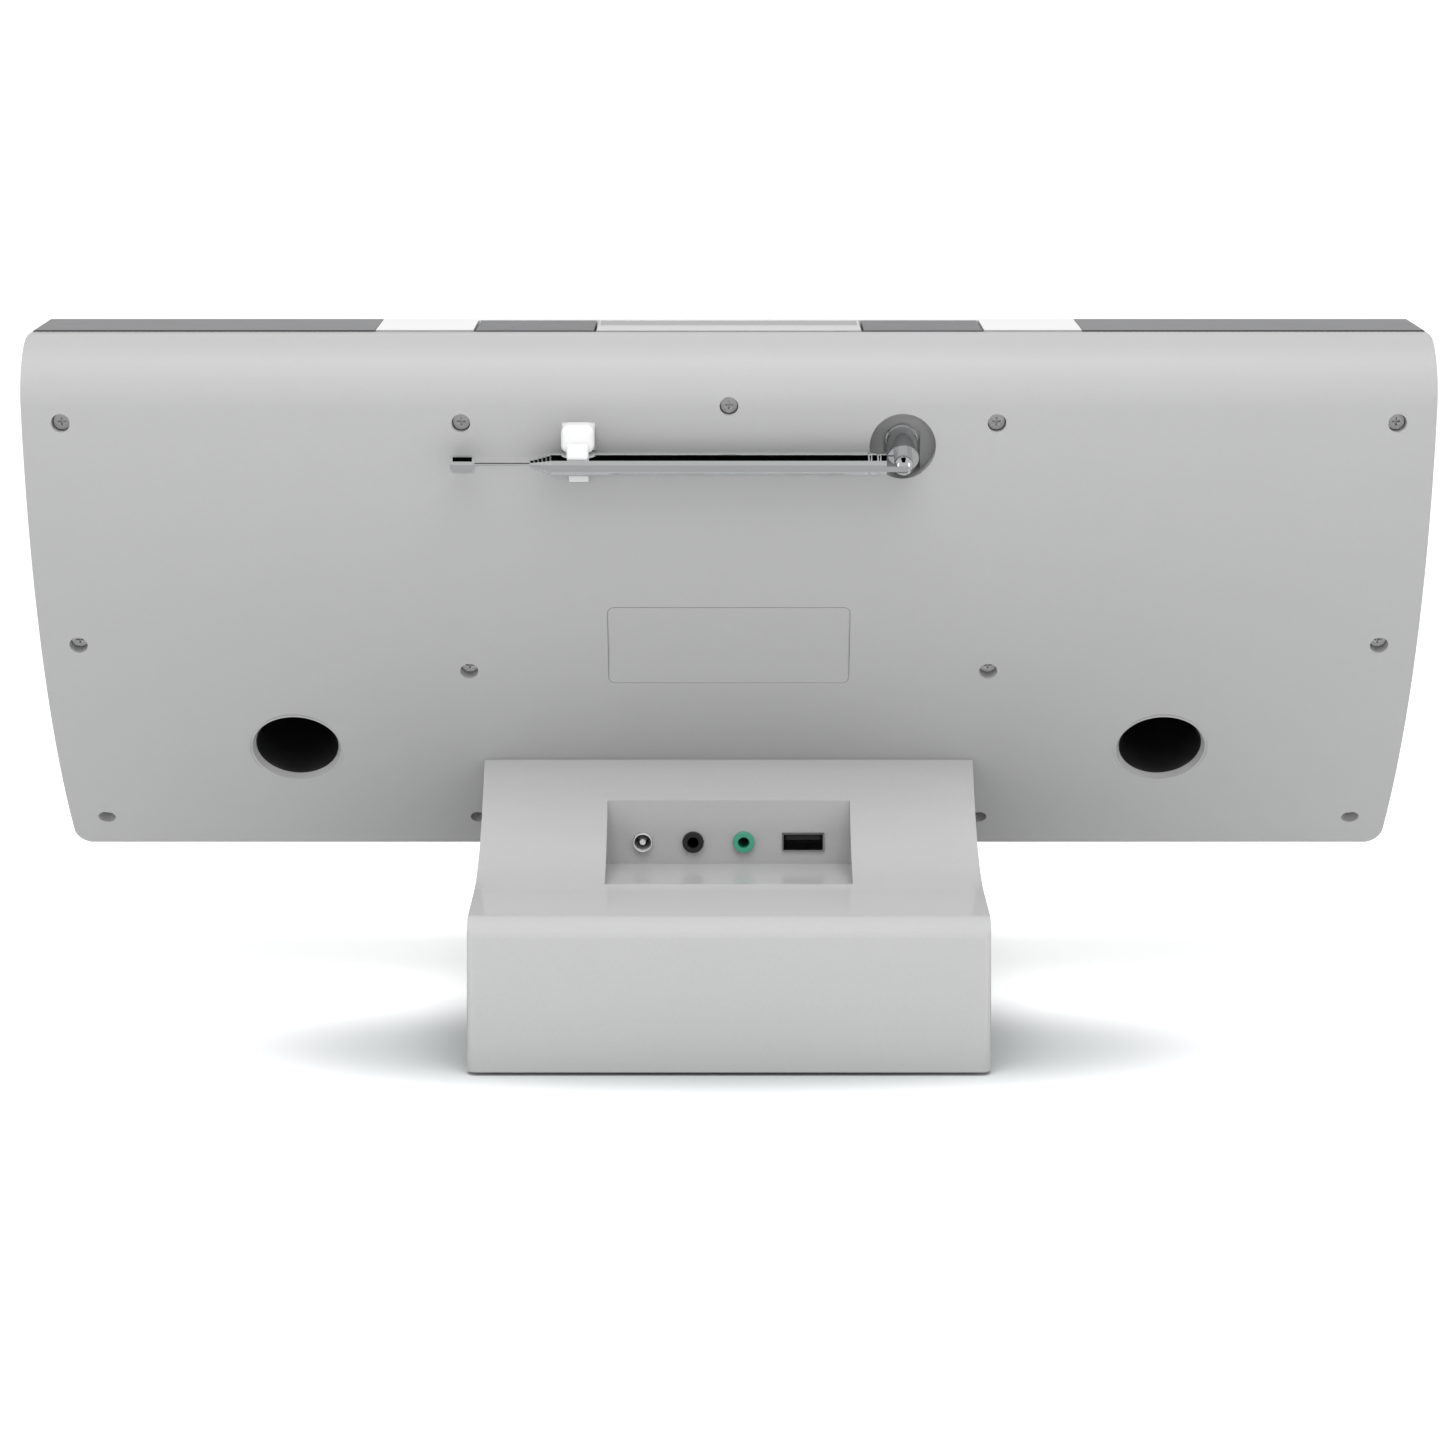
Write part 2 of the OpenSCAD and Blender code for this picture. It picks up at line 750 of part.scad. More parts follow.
// Side view of the base
module base_side(inset) {
  difference() {
    union() {
      translate([base_front + inset, foot_h]) square([base_d - 2 * inset, ledge_z - foot_h - 6]);
      translate([base_front + 20, foot_h]) square([base_d - 26, ledge_z - foot_h - inset]);
      translate([base_back - 6, ledge_z - 6]) circle(6 - inset);
      translate([neck_y - 40, foot_h]) square([slope_y - neck_y + 40, neck_z - foot_h - inset]);
    }
    translate([slope_y, ledge_z + slope_r]) circle(slope_r + inset, $fn = 180);
    translate([slope_y - 1, ledge_z + 0.05 - inset]) square([far, far]);
    difference() {
      translate([back_y, back_z]) circle(back_r + 0.15 + inset, $fn = 180);
      translate([-far, -far]) square([2 * far, far + body_bottom - 0.3 - inset]);
    }
    polygon([
      [base_front - 1, 24 - inset], [front_bottom_y, body_bottom + 2 - inset],
      [front_bottom_y, far], [base_front - 1, far]
    ]);
  }
}

module base_solid(inset) {
  half = base_w / 2 - inset;
  intersection() {
    across(base_w) base_side(inset);
    through(-far, far) polygon([[-half, 0], [half, 0], [half - 1.6, 90], [-half + 1.6, 90]]);
    translate([0, 0, -10]) linear_extrude(200) round_rect(base_w - 2 * inset, base_d - 2 * inset, 3 - inset);
  }
}

module jack_pocket(grow = 0) {
  translate([-jack_half - grow, jack_wall_y - grow, jack_floor_z - grow])
    cube([2 * jack_half + 2 * grow, jack_back_y - jack_wall_y + 2 * grow, 40]);
}

module jack_holes() {
  for (j = [[dc_x, 3.2], [aux_x, 3.5], [phones_x, 3.5]])
    translate([j.x, jack_wall_y + 5, jack_z]) rotate([90, 0, 0]) cylinder(h = 12, r = j.y);
  translate([usb_x - 6.9, jack_wall_y - 6, jack_z - 3.1]) cube([13.8, 12, 6.2]);
}

foot_sites = [[-62, -62], [62, -62], [-62, 62], [62, 62]];

module base_shell() {
  color(fascia_white) difference() {
    union() {
      difference() {
        base_solid(0);
        translate([0, 0, -eps]) base_solid(base_wall);
        translate([0, 0, -1]) linear_extrude(foot_h + 3.2)
          round_rect(base_w - 2 * base_wall, base_d - 2 * base_wall, 3);
      }
      intersection() {
        base_solid(0.5);
        jack_pocket(2);
      }
      for (s = [-1, 1], y = [-50, 50])
        translate([s * 70, y, foot_h + 2.2])
          cylinder(h = (y > 0 ? ledge_z - 1 : body_bottom - 1.5) - foot_h - 2.2, r = 4);
    }
    jack_pocket();
    jack_holes();
    for (s = [-1, 1], y = [-50, 50]) translate([s * 70, y, 0]) cylinder(h = 18, r = 1.5);
    for (s = [-1, 1]) translate([s * neck_screw_x, neck_screw_y, 30]) cylinder(h = 30, r = 2.1);
  }
}

module base_plate() {
  color([0.25, 0.25, 0.26]) difference() {
    translate([0, 0, foot_h]) linear_extrude(2.2)
      round_rect(base_w - 2 * base_wall - 0.6, base_d - 2 * base_wall - 0.6, 2.7);
    for (s = [-1, 1], y = [-50, 50]) translate([s * 70, y, 0]) {
      cylinder(h = 10, r = 1.7);
      cylinder(h = foot_h + 1.2, r = 3.2);
    }
  }
}

module base_feet() {
  color(black_plastic) for (f = foot_sites) translate([f.x, f.y, 0]) cylinder(h = foot_h, r = 9);
}

module base_screws() {
  color(steel) for (s = [-1, 1], y = [-50, 50]) translate([s * 70, y, foot_h + 0.1]) {
    difference() {
      cylinder(h = 1.1, r = 2.9);
      for (a = [0, 90]) rotate(a) cube([3.4, 0.8, 1], center = true);
    }
    translate([0, 0, 0.6]) cylinder(h = 14, r = 1.45);
  }
}

// Screws that pull the cabinet down onto the base
module neck_screws() {
  color(steel) for (s = [-1, 1]) translate([s * neck_screw_x, neck_screw_y, 0]) {
    translate([0, 0, 39.2]) cylinder(h = 2.6, r = 3.6);
    translate([0, 0, 41]) cylinder(h = 15, r = neck_screw_r);
  }
}

module ballast() {
  color([0.30, 0.30, 0.31]) translate([-66, -40, foot_h + 2.2]) cube([132, 84, 12]);
}

module jack_board() {
  color(board_green) translate([-46, -14, jack_z - 8.4]) cube([84, 16, 1.6]);
}

module panel_jack(x, colour, r_out, r_bore) {
  color(colour) difference() {
    union() {
      translate([x, jack_wall_y + 1.4, jack_z]) rotate([90, 0, 0]) cylinder(h = 4, r = r_out);
      translate([x - 5.5, jack_wall_y - 14, jack_z - 6.7]) cube([11, 11.9, 11.6]);
    }
    translate([x, jack_wall_y + 10, jack_z]) rotate([90, 0, 0]) cylinder(h = 22, r = r_bore);
  }
}

module dc_jack() {
  panel_jack(dc_x, [0.5, 0.5, 0.52], 3.1, 2.75);
  color(steel) translate([dc_x, jack_wall_y + 0.4, jack_z]) rotate([90, 0, 0]) cylinder(h = 13, r = 1);
}

module aux_jack() { panel_jack(aux_x, black_plastic, 3.45, 1.8); }
module phones_jack() { panel_jack(phones_x, [0.30, 0.58, 0.30], 3.45, 1.8); }

module usb_port() {
  color(steel) difference() {
    translate([usb_x - 6.8, jack_wall_y - 14, jack_z - 3]) cube([13.6, 14.6, 6]);
    translate([usb_x - 6.4, jack_wall_y - 12, jack_z - 2.6]) cube([12.8, 20, 5.2]);
  }
  color(black_plastic) translate([usb_x - 5.6, jack_wall_y - 12.1, jack_z + 0.4]) cube([11.2, 11.4, 1.8]);
}

rear_shell();
front_frame();
grille_left();
grille_right();
display_lens();
lcd_panel();
display_board();
key_board();
key_switches();
standby_bar();
bar_inlay();
tune_rocker();
volume_rocker();
rocker_pins();
main_board();
main_board_parts();
tuner_can();
heatsink();
driver_frame_left();
driver_frame_right();
surround_left();
surround_right();
cone_left();
cone_right();
dust_cap_left();
dust_cap_right();
magnet_left();
magnet_right();
port_tube_left();
port_tube_right();
case_screws();
rating_plate();
antenna_washer();
antenna_nut();
antenna_barrel();
antenna_pin();
antenna_tube_1();
antenna_tube_2();
antenna_tube_3();
antenna_tube_4();
antenna_tube_5();
antenna_tube_6();
antenna_rod();
antenna_tip();
antenna_clip();
base_shell();
base_plate();
base_feet();
base_screws();
neck_screws();
ballast();
jack_board();
dc_jack();
aux_jack();
phones_jack();
usb_port();
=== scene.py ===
"""Looks of the tabletop radio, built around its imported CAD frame. Metres throughout."""
import json
import math
import bmesh
import bpy
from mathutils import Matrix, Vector


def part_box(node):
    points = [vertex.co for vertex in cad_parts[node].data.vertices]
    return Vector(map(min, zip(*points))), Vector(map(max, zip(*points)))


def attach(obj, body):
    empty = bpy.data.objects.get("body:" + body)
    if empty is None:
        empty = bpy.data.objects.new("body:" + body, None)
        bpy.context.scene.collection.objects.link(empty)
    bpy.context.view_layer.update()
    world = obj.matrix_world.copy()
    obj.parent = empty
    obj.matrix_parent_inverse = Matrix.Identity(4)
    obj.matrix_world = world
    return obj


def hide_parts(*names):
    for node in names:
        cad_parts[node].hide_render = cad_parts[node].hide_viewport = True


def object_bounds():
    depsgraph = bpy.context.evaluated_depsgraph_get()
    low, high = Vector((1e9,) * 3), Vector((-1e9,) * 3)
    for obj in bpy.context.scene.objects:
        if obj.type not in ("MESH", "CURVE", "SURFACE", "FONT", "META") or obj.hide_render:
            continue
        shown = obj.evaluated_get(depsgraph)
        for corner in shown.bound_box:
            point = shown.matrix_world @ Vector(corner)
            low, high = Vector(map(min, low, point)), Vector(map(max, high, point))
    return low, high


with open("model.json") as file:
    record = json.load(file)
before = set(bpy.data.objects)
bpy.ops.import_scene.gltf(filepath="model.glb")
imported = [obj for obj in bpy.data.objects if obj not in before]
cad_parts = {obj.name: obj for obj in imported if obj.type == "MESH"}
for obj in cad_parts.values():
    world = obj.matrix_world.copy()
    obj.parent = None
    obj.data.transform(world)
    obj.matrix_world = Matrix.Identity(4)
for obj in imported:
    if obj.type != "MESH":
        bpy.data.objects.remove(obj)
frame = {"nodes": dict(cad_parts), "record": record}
nodes = frame["nodes"]
cad_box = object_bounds()
MM = 0.001


# ------------------------------------------------------------------ helpers
def add_node(tree, kind, values=(), **settings):
    """Adds a shader node with its settings, then its input values."""
    n = tree.nodes.new("ShaderNode" + kind)
    for key, value in settings.items():
        setattr(n, key, value)
    for key, value in dict(values).items():
        n.inputs[key].default_value = value
    return n


def new_material(name):
    m = bpy.data.materials.new(name)
    m.use_nodes = True
    return m, m.node_tree, m.node_tree.nodes["Principled BSDF"]


def place(name, data):
    """Puts a mesh, light or camera in the scene."""
    ob = bpy.data.objects.new(name, data)
    bpy.context.scene.collection.objects.link(ob)
    return ob


def mesh_from(bm, name):
    me = bpy.data.meshes.new(name)
    bm.to_mesh(me)
    bm.free()
    return me


# ------------------------------------------------------------------ materials
COAT_ROUGHNESS = 0.06
BUMP_STRENGTH = 0.6
SPECK_AMOUNT = 0.25
SPECK_DARKEST = 0.88


def shade(name, color, rough, metal=0.0, spread=0.03, rough_spread=0.05, grain=0.35,
          bump=0.00003, coat=0.0, stretch=(1, 1, 1), blotch=30.0):
    """Principled surface with colour drift, roughness drift and a fine surface grain (grain in mm)."""
    m, t, p = new_material(name)
    p.inputs["Metallic"].default_value = metal
    p.inputs["Coat Weight"].default_value = coat
    p.inputs["Coat Roughness"].default_value = COAT_ROUGHNESS
    co = add_node(t, "TexCoord")
    mp = add_node(t, "Mapping", {"Scale": stretch})
    t.links.new(co.outputs["Object"], mp.inputs["Vector"])

    def noise(scale, detail):
        n = add_node(t, "TexNoise", {"Scale": scale, "Detail": detail})
        t.links.new(mp.outputs["Vector"], n.inputs["Vector"])
        return n.outputs["Fac"]

    broad = noise(blotch, 3.0)
    fine = noise(1.0 / (grain * MM), 2.0)
    drift = add_node(t, "Mix", {"A": [max(c * (1 - spread), 0) for c in color] + [1],
                                "B": [min(c * (1 + spread), 1) for c in color] + [1]}, data_type="RGBA")
    t.links.new(broad, drift.inputs["Factor"])
    speck = add_node(t, "Mix", {"Factor": SPECK_AMOUNT}, data_type="RGBA", blend_type="MULTIPLY")
    grey = add_node(t, "MapRange", {"From Min": 0.3, "From Max": 0.7,
                                    "To Min": SPECK_DARKEST, "To Max": 1.0})
    t.links.new(fine, grey.inputs["Value"])
    t.links.new(drift.outputs["Result"], speck.inputs["A"])
    t.links.new(grey.outputs["Result"], speck.inputs["B"])
    t.links.new(speck.outputs["Result"], p.inputs["Base Color"])
    r = add_node(t, "MapRange", {"To Min": max(rough - rough_spread, 0.02),
                                 "To Max": min(rough + rough_spread, 1.0)})
    t.links.new(noise(blotch * 4, 4.0), r.inputs["Value"])
    t.links.new(r.outputs["Result"], p.inputs["Roughness"])
    b = add_node(t, "Bump", {"Strength": BUMP_STRENGTH, "Distance": bump})
    t.links.new(fine, b.inputs["Height"])
    t.links.new(b.outputs["Normal"], p.inputs["Normal"])
    return m


def perforated(name, color, pitch=2.0, hole=0.62, edge=0.12):
    """Painted sheet metal with round holes (mm) in a staggered grid, seen from front or back."""
    m = shade(name, color, 0.42, grain=0.25, bump=0.00002)
    t = m.node_tree
    p = t.nodes["Principled BSDF"]
    co = next(n for n in t.nodes if n.type == "TEX_COORD")
    xyz = add_node(t, "SeparateXYZ")
    t.links.new(co.outputs["Object"], xyz.inputs[0])

    def calc(op, *terms):
        n = add_node(t, "Math", operation=op)
        for socket, v in zip(n.inputs, terms):
            if isinstance(v, (int, float)):
                socket.default_value = v
            else:
                t.links.new(v, socket)
        return n.outputs[0]

    def hole_distance(shift):
        squares = []
        for axis, step in (("X", pitch), ("Z", pitch * 1.732)):
            turn = calc("ADD", calc("DIVIDE", xyz.outputs[axis], step * MM), 100.0 + shift)
            off = calc("MULTIPLY", calc("SUBTRACT", calc("FRACT", turn), 0.5), step)
            squares.append(calc("POWER", calc("ABSOLUTE", off), 2.0))
        return calc("SQRT", calc("ADD", *squares))

    step = add_node(t, "MapRange", {"From Min": hole, "From Max": hole + edge, "To Min": 0.04})
    t.links.new(calc("MINIMUM", hole_distance(0.0), hole_distance(0.5)), step.inputs["Value"])
    mix = add_node(t, "Mix", data_type="RGBA", blend_type="MULTIPLY")
    facing = add_node(t, "SeparateXYZ")
    t.links.new(add_node(t, "NewGeometry").outputs["Normal"], facing.inputs[0])
    t.links.new(calc("GREATER_THAN", calc("ABSOLUTE", facing.outputs["Y"]), 0.6), mix.inputs["Factor"])
    t.links.new(p.inputs["Base Color"].links[0].from_socket, mix.inputs["A"])
    t.links.new(step.outputs["Result"], mix.inputs["B"])
    t.links.new(mix.outputs["Result"], p.inputs["Base Color"])
    return m


LOOK = {
    "shell": shade("shell_satin_grey", (0.325, 0.325, 0.325), 0.36, spread=0.012, grain=0.45),
    "base_grey": shade("base_gloss_grey", (0.375, 0.375, 0.375), 0.09, spread=0.01, rough_spread=0.02,
                       grain=0.6, bump=0.000004),
    "painted_screw": shade("painted_screw", (0.46, 0.46, 0.46), 0.4, spread=0.04, grain=0.3),
    "white": shade("satin_white", (0.60, 0.605, 0.60), 0.34, spread=0.012, grain=0.5, bump=0.00002),
    "grille": perforated("perforated_dark_steel", (0.15, 0.15, 0.155)),
    "lens": shade("smoked_window", (0.012, 0.012, 0.015), 0.07, rough_spread=0.02, bump=0.000002,
                  coat=0.6),
    "lcd": shade("display_glass", (0.16, 0.2, 0.19), 0.2, bump=0.000002),
    "board": shade("solder_mask", (0.02, 0.11, 0.045), 0.35, spread=0.15, grain=0.8),
    "steel": shade("plated_steel", (0.56, 0.56, 0.57), 0.3, metal=1.0, spread=0.05, grain=0.3,
                   stretch=(1, 1, 6)),
    "silver_key": shade("satin_silver_key", (0.42, 0.42, 0.42), 0.34, spread=0.02, grain=0.3,
                        bump=0.00002),
    # Inlay part on the standby bar: its darker grey is painted shade for the bar's front facet
    "key_inlay": shade("grey_inlay_painted_shade", (0.27, 0.27, 0.275), 0.4, grain=0.3),
    "dark_key": shade("dark_grey_key", (0.12, 0.12, 0.125), 0.38, spread=0.04),
    "black": shade("matte_black", (0.008, 0.008, 0.009), 0.45, spread=0.1, grain=0.3),
    "alloy": shade("extruded_alloy", (0.6, 0.61, 0.62), 0.36, metal=1.0, spread=0.04, stretch=(8, 1, 1)),
    "driver_frame": shade("painted_frame", (0.02, 0.02, 0.021), 0.4, spread=0.1),
    "rubber": shade("moulded_rubber", (0.018, 0.018, 0.018), 0.75, spread=0.15, grain=0.5, bump=0.00006),
    "cone": shade("pressed_paper", (0.03, 0.03, 0.032), 0.85, spread=0.2, grain=0.9, bump=0.0001),
    "magnet": shade("magnet_ferrite", (0.10, 0.10, 0.105), 0.55, metal=0.4, spread=0.1, grain=0.6),
    "plate": shade("blank_plate", (0.325, 0.325, 0.325), 0.36, spread=0.012, grain=0.45),
    "chrome": shade("polished_chrome", (0.80, 0.81, 0.82), 0.07, metal=1.0, spread=0.02,
                    rough_spread=0.025, grain=0.4, bump=0.000002, blotch=60),
    "ballast": shade("cast_ballast", (0.12, 0.12, 0.12), 0.6, metal=0.7, spread=0.2, grain=1.2,
                     bump=0.0002),
    "jack_grey": shade("socket_grey", (0.62, 0.62, 0.62), 0.3, spread=0.04),
    "jack_green": shade("socket_green", (0.045, 0.30, 0.19), 0.3, spread=0.06),
}
slot_of = {s["node"]: s["material_slot"] for s in frame["record"]["subparts"]}
body_of = {n: b for b, ns in frame["record"]["behaviour"]["bodies"].items() for n in ns}
for name, ob in nodes.items():
    for s in ob.material_slots:
        s.material = LOOK[slot_of[name]]


# ------------------------------------------------------------------ rebuilt pieces
SHARP_EDGE = math.radians(32)


def clean_copy(node):
    """The node's solid as a welded mesh with its flat areas merged."""
    bm = bmesh.new()
    bm.from_mesh(nodes[node].data)
    bmesh.ops.remove_doubles(bm, verts=bm.verts, dist=2e-6)
    bmesh.ops.dissolve_degenerate(bm, edges=bm.edges, dist=1e-6)
    bmesh.ops.dissolve_limit(bm, angle_limit=math.radians(0.3), verts=bm.verts, edges=bm.edges)
    bm.normal_update()
    return bm


def finish_piece(bm, node, weighted=True):
    """Turns the bmesh into a piece that stands for the node."""
    for f in bm.faces:
        f.smooth = True
    for e in bm.edges:
        if len(e.link_faces) == 2:
            e.smooth = e.calc_face_angle(0) < SHARP_EDGE
    ob = place(node + "_detailed", mesh_from(bm, node + "_detailed"))
    ob.data.materials.append(LOOK[slot_of[node]])
    if weighted:
        wn = ob.modifiers.new("flat_faces", "WEIGHTED_NORMAL")
        wn.keep_sharp = True
        wn.weight = 80
    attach(ob, body_of[node])
    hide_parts(node)
    return ob


def bevel(bm, edges, width, segments, miter="ARC"):
    """Rounds the edges of a bmesh."""
    if edges:
        bmesh.ops.bevel(bm, geom=edges, offset=width, offset_type="OFFSET", segments=segments,
                        profile=0.5, affect="EDGES", clamp_overlap=True, miter_outer=miter)
        bm.normal_update()


def outward_edges(bm, turn, where):
    """Edges that stick out, turn by more than this many degrees and pass the test."""
    return [e for e in bm.edges if len(e.link_faces) == 2 and e.is_convex
            and e.calc_face_angle(0) > math.radians(turn) and where(e)]


def softened(node, width, segments, where=None):
    """The node with its outward edges rounded. where picks edges by their middle point."""
    bm = clean_copy(node)
    picked = outward_edges(bm, 40, lambda e: where is None or where((e.verts[0].co + e.verts[1].co) / 2))
    bevel(bm, picked, width, segments)
    return finish_piece(bm, node)


# Rear shell: a soft rounded edge all round the curved back, which rolls over at the top
AXIS_Y, AXIS_Z, ARC = -0.2014, 0.2096, 0.2354
ROLL, ROLL_TURN = 0.0207, math.radians(2)
ROLL_Y = AXIS_Y + (ARC - ROLL) * math.cos(ROLL_TURN)
ROLL_Z = cad_box[1].z - ROLL
ROLL_START = AXIS_Z - ARC * math.sin(ROLL_TURN)
RIM_X, RIM_Z = 0.2120, 0.0452
LIP_X, LIP_Y = 0.211, -0.035
RIM_ROUND, LIP_ROUND = 0.0022, 0.0004
ON_ARC, SHELL_BACK_Y, ROLL_ZONE_Z = 0.0015, -0.05, 0.19
NORMAL_FIT, SAME_WAY = 0.0002, 0.995


def is_back(f):
    """Faces of the curved back, its roll-over and its flat top."""
    n = f.normal
    outward = n.x * n.x < 0.02 and (n.y > 0.05 or n.z > 0.9)
    return outward and f.calc_center_median().y > SHELL_BACK_Y and all(
        v.co.z > ROLL_ZONE_Z or (v.co.y - AXIS_Y) ** 2 + (v.co.z - AXIS_Z) ** 2 > (ARC - ON_ARC) ** 2
        for v in f.verts)


def on_rim(e):
    """Edges between the curved back and the outer sides or the bottom."""
    outer = all(abs(v.co.x) > RIM_X or v.co.z < RIM_Z for v in e.verts)
    return (outer and sum(is_back(f) for f in e.link_faces) == 1
            and not any(f.normal.y < -0.5 for f in e.link_faces))


def on_lip(e):
    """Edges of the openings in the curved back."""
    start = e.verts[0].co
    return abs(start.x) < LIP_X and start.y > LIP_Y and any(is_back(f) for f in e.link_faces)


def true_normals(ob):
    """Gives the curved back and its roll-over their exact normals."""
    me = ob.data
    out = [Vector(n.vector) for n in me.corner_normals]
    for p in me.polygons:
        over = p.center.z > ROLL_START
        centre_y, centre_z, radius = (ROLL_Y, ROLL_Z, ROLL) if over else (AXIS_Y, AXIS_Z, ARC)
        for li in p.loop_indices:
            v = me.vertices[me.loops[li].vertex_index].co
            y, z = v.y - centre_y, v.z - centre_z
            r = math.hypot(y, z)
            if abs(r - radius) < NORMAL_FIT and (y > -0.0001 or not over):
                n = Vector((0, y / r, z / r))
                if n.dot(p.normal) > SAME_WAY:
                    out[li] = n
    me.normals_split_custom_set(out)


shell = clean_copy("rear_shell")
bevel(shell, outward_edges(shell, 35, on_rim), RIM_ROUND, 5)
bevel(shell, outward_edges(shell, 35, on_lip), LIP_ROUND, 2)
true_normals(finish_piece(shell, "rear_shell", weighted=False))

FOOT_LINE = 0.004
base = clean_copy("base_shell")
bevel(base, outward_edges(base, 40, lambda e: all(v.co.z > FOOT_LINE for v in e.verts)), 0.0003, 2)
finish_piece(base, "base_shell")
softened("front_frame", 0.0006, 2, where=lambda c: abs(c.x) > 0.2 or c.z > 0.205 or c.y < -0.02)
KEY_SHELF_Z = 0.2205
for key in ("standby_bar", "tune_rocker", "volume_rocker"):
    softened(key, 0.0003, 2, where=lambda c: c.z > KEY_SHELF_Z)


def block(bm, low, high, width, segments):
    """Adds a rounded block between two corners to a bmesh."""
    made = bmesh.ops.create_cube(bm, size=1.0)["verts"]
    for v in made:
        v.co = Vector([low[i] + (v.co[i] + 0.5) * (high[i] - low[i]) for i in range(3)])
    bevel(bm, list({e for v in made for e in v.link_edges}), width, segments, miter="SHARP")


# Clip: a square root and a rounded hood over the rod, its springy tongue and the stub below
clip_low, clip_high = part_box("antenna_clip")
clip_x = (clip_low.x + clip_high.x) / 2
grip_z = clip_high.z - 0.0124
hood_z = clip_high.z - 0.0086
root_y = clip_low.y + 0.004
TONGUE_HALF, STUB_HALF = 0.0034, 0.0031
ROOT_END_Y, HOOD_START_Y, STUB_END_Y = 0.0330, 0.0290, 0.0342
clip = bmesh.new()
block(clip, (clip_low.x, root_y, hood_z), (clip_high.x, ROOT_END_Y, clip_high.z), 0.0002, 2)
block(clip, (clip_low.x, HOOD_START_Y, hood_z), (clip_high.x, clip_high.y - 0.0011, clip_high.z), 0.0024, 6)
block(clip, (clip_x - TONGUE_HALF, clip_high.y - 0.003, grip_z + 0.0021),
      (clip_x + TONGUE_HALF, clip_high.y, grip_z + 0.0070), 0.0009, 4)
block(clip, (clip_x - STUB_HALF, root_y, clip_low.z),
      (clip_x + STUB_HALF, STUB_END_Y, clip_low.z + 0.012), 0.0012, 4)
finish_piece(clip, "antenna_clip")

# Port tubes: the shell's colour for the first few millimetres, then black
PORT_Z, PALE_MOUTH = 0.0845, 0.0022
port_turn = math.asin((AXIS_Z - PORT_Z) / ARC)
port_dir = Vector((0, math.cos(port_turn), -math.sin(port_turn)))
for node in ("port_tube_left", "port_tube_right"):
    low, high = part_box(node)
    mouth = Vector(((low.x + high.x) / 2, AXIS_Y + ARC * math.cos(port_turn), PORT_Z))
    tube = clean_copy(node)
    bmesh.ops.bisect_plane(tube, geom=tube.verts[:] + tube.edges[:] + tube.faces[:],
                           plane_co=mouth - port_dir * PALE_MOUTH, plane_no=port_dir)
    ob = finish_piece(tube, node)
    ob.data.materials.append(LOOK["shell"])
    for f in ob.data.polygons:
        if (f.center - mouth).dot(port_dir) > -PALE_MOUTH:
            f.material_index = 1


# Antenna: rounded grooves near the elbow and rolled ends on the stages
rod_low, rod_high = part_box("antenna_rod")
rod_y = (rod_low.y + rod_high.y) / 2
rod_z = (rod_low.z + rod_high.z) / 2
RING_SIDES = 48


def lathe(name, profile, start_x, stage):
    """Ring of the tube's chrome about the rod's line, from (along, radius) points."""
    bm = bmesh.new()
    rings = []
    for x, r in profile:
        rings.append([bm.verts.new((start_x + x, rod_y + r * math.cos(a), rod_z + r * math.sin(a)))
                      for a in (2 * math.pi * i / RING_SIDES for i in range(RING_SIDES))])
    for a, b in zip(rings, rings[1:]):
        for i in range(RING_SIDES):
            j = (i + 1) % RING_SIDES
            bm.faces.new((a[i], a[j], b[j], b[i])).smooth = True
    bmesh.ops.recalc_face_normals(bm, faces=bm.faces[:])
    ob = place(name, mesh_from(bm, name))
    slot = slot_of["antenna_tube_1"]
    ob.data.materials.append(LOOK[slot])
    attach(ob, body_of[stage])


GROOVES_X, GROOVE_HALF, GROOVE_DEPTH, GROOVE_STEPS = (-0.0463, -0.0435), 0.00062, 0.00017, 12
STAGE_RADII = (3.7, 3.22, 2.76, 2.32, 1.9, 1.5)
BEAD_HALF, BEAD_HEIGHT, BEAD_STEPS = 0.00017, 0.05, 10
for i, x in enumerate(GROOVES_X):
    hollow = []
    for k in range(GROOVE_STEPS + 1):
        dip = GROOVE_DEPTH * math.sin(math.pi * k / GROOVE_STEPS)
        hollow.append((-GROOVE_HALF + 2 * GROOVE_HALF * k / GROOVE_STEPS, STAGE_RADII[0] * MM - dip))
    lathe("groove_%d" % i, hollow, x, "antenna_tube_1")
for i, r in enumerate(STAGE_RADII):
    stage = "antenna_tube_%d" % (i + 1)
    bead = []
    for k in range(BEAD_STEPS + 1):
        a = math.pi * k / BEAD_STEPS
        bead.append((-BEAD_HALF * (1 + math.cos(a)), (r + BEAD_HEIGHT * math.sin(a)) * MM))
    lathe("stage_end_%d" % (i + 1), bead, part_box(stage)[1].x, stage)

# Sockets: rounded mouths, and black inside the USB shell
for jack in ("dc_jack", "aux_jack", "phones_jack"):
    softened(jack, 0.0003, 2, where=lambda c: c.y > 0.004)
usb = softened("usb_port", 0.00015, 1)
usb.data.materials.append(LOOK["black"])
low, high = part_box("usb_port")
USB_WALL, USB_RIM = 0.0004, 0.0002
for f in usb.data.polygons:
    c = f.center
    inside = (low.x + USB_WALL < c.x < high.x - USB_WALL
              and low.z + USB_WALL < c.z < high.z - USB_WALL)
    if inside and c.y < high.y - USB_RIM:
        f.material_index = 1


# ------------------------------------------------------------------ stage
# Painted shadow: a darker ellipse painted into the floor's colour and glow round the base
PAINTED_SHADOW_Y, PAINTED_SHADOW_HALF_X, PAINTED_SHADOW_HALF_Y, PAINTED_SHADOW_CORE = 0.052, 0.235, 0.072, 0.35
PAINTED_SHADOW_COLOR, FLOOR_COLOR = (0.41, 0.428, 0.432, 1), (0.92, 0.925, 0.93, 1)
FLOOR_GLOW, FLOOR_IN_REFLECTIONS = 0.22, 0.45


